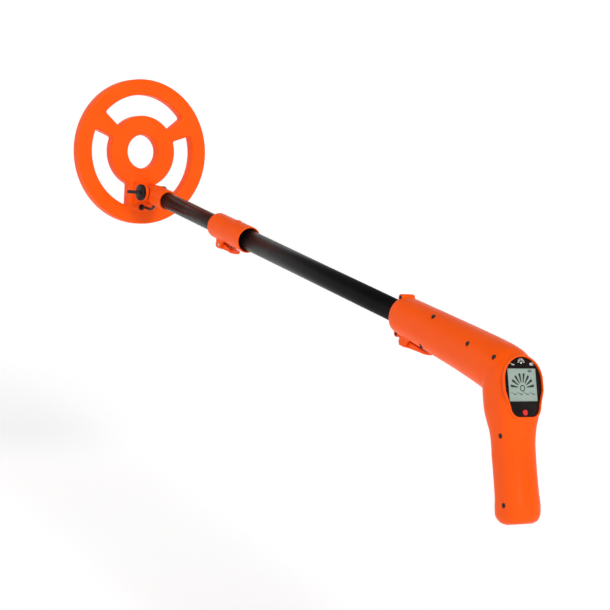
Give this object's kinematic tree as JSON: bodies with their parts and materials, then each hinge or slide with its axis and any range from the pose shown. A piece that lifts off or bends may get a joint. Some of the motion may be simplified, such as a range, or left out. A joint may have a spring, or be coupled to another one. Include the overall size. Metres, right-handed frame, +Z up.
{
  "type": "handheld metal detector",
  "caption": "Child's handheld metal detector: round search coil with spokes on a tilting bracket, telescoping shaft with lever latches, and a pistol grip with a display and a power button.",
  "frame": {"origin": "the point where the axis of the shaft meets the axis of the grip", "axes": "+X to the user's right, +Y along the shaft from the handle towards the coil, +Z up, square to the shaft"},
  "size_m": [0.171, 0.8154, 0.2591],
  "materials": {
    "orange_plastic": "moulded, half gloss",
    "black_plastic": "moulded, satin",
    "panel_plastic": "gloss",
    "tube_coating": "gloss black coating",
    "steel": "plain",
    "black_steel": "blackened",
    "winding": "enamelled wire",
    "board": "solder mask",
    "lead_rubber": "satin",
    "rubber": "matte",
    "white_plastic": "moulded",
    "lcd": "satin",
    "red_plastic": "gloss",
    "battery_case": "painted can"
  },
  "bodies": {
    "handle": {"handle_left_shell": "orange_plastic", "handle_right_shell": "orange_plastic", "handle_screws": "steel", "handle_bush": "black_plastic", "handle_latch_pin": "steel", "handle_latch_spring": "steel", "handle_lead": "lead_rubber", "display_panel": "panel_plastic", "lcd_glass": "lcd", "lcd_frame": "white_plastic", "circuit_board": "board", "board_chips": "black_plastic", "buzzer": "black_plastic", "button_switch": "black_plastic", "button_dome": "rubber", "battery": "battery_case", "battery_clip": "black_plastic", "battery_leads": "lead_rubber"},
    "handle_latch": {"handle_latch_lever": "orange_plastic", "handle_latch_pad": "rubber"},
    "button": {"power_button": "red_plastic"},
    "door": {"battery_door": "orange_plastic"},
    "upper_shaft": {"upper_tube": "tube_coating", "middle_collar": "orange_plastic", "collar_screw": "steel", "middle_latch_pin": "steel", "middle_latch_spring": "steel", "curly_lead": "lead_rubber"},
    "middle_latch": {"middle_latch_lever": "orange_plastic", "middle_latch_pad": "rubber"},
    "lower_shaft": {"lower_tube": "tube_coating", "lower_tube_bush": "white_plastic", "tube_lead": "lead_rubber", "knuckle": "orange_plastic", "knuckle_screw": "steel", "lead_grommet": "rubber"},
    "coil": {"coil_top_cover": "orange_plastic", "coil_bottom_cover": "orange_plastic", "transmit_winding": "winding", "receive_winding": "winding", "coil_cover_screws": "steel", "coil_junction_board": "board", "lead_gland": "black_plastic", "coil_lead": "lead_rubber", "pivot_bolt": "black_steel", "friction_washers": "rubber"},
    "nut": {"thumb_nut": "black_plastic"}
  },
  "joints": [
    {"name": "upper_tube_slide", "type": "slide", "parent": "handle", "child": "upper_shaft", "axis": [0, 1, 0], "range_m": [-0.022, 0], "deforming": ["curly_lead"]},
    {"name": "lower_tube_slide", "type": "slide", "parent": "upper_shaft", "child": "lower_shaft", "axis": [0, 1, 0], "range_m": [-0.105, 0.06], "deforming": ["curly_lead"]},
    {"name": "coil_tilt", "type": "hinge", "parent": "lower_shaft", "child": "coil", "pos_m": [0, 0.6775, 0], "axis": [1, 0, 0], "range_deg": [-75, 60], "deforming": ["coil_lead"]},
    {"name": "thumb_nut_turn", "type": "hinge", "parent": "coil", "child": "nut", "pos_m": [-0.015, 0.6775, 0], "axis": [1, 0, 0], "continuous": true},
    {"name": "middle_latch_press", "type": "hinge", "parent": "upper_shaft", "child": "middle_latch", "pos_m": [0, 0.498, -0.0176], "axis": [-1, 0, 0], "range_deg": [0, 5], "stiffness_Nm_per_rad": 0.5, "springref_deg": -5.73, "deforming": ["middle_latch_spring"]},
    {"name": "handle_latch_press", "type": "hinge", "parent": "handle", "child": "handle_latch", "pos_m": [0, 0.14, -0.0223], "axis": [-1, 0, 0], "range_deg": [0, 5], "stiffness_Nm_per_rad": 0.5, "springref_deg": -5.73, "deforming": ["handle_latch_spring"]},
    {"name": "power_button_press", "type": "slide", "parent": "handle", "child": "button", "axis": [0, 0.9135, -0.4067], "range_m": [0, 0.0008], "stiffness_N_per_m": 500, "springref_m": -0.001, "deforming": ["button_dome"]},
    {"name": "battery_door_pull", "type": "slide", "parent": "handle", "child": "door", "axis": [0, 0.9135, -0.4067], "range_m": [0, 0.03]}
  ]
}
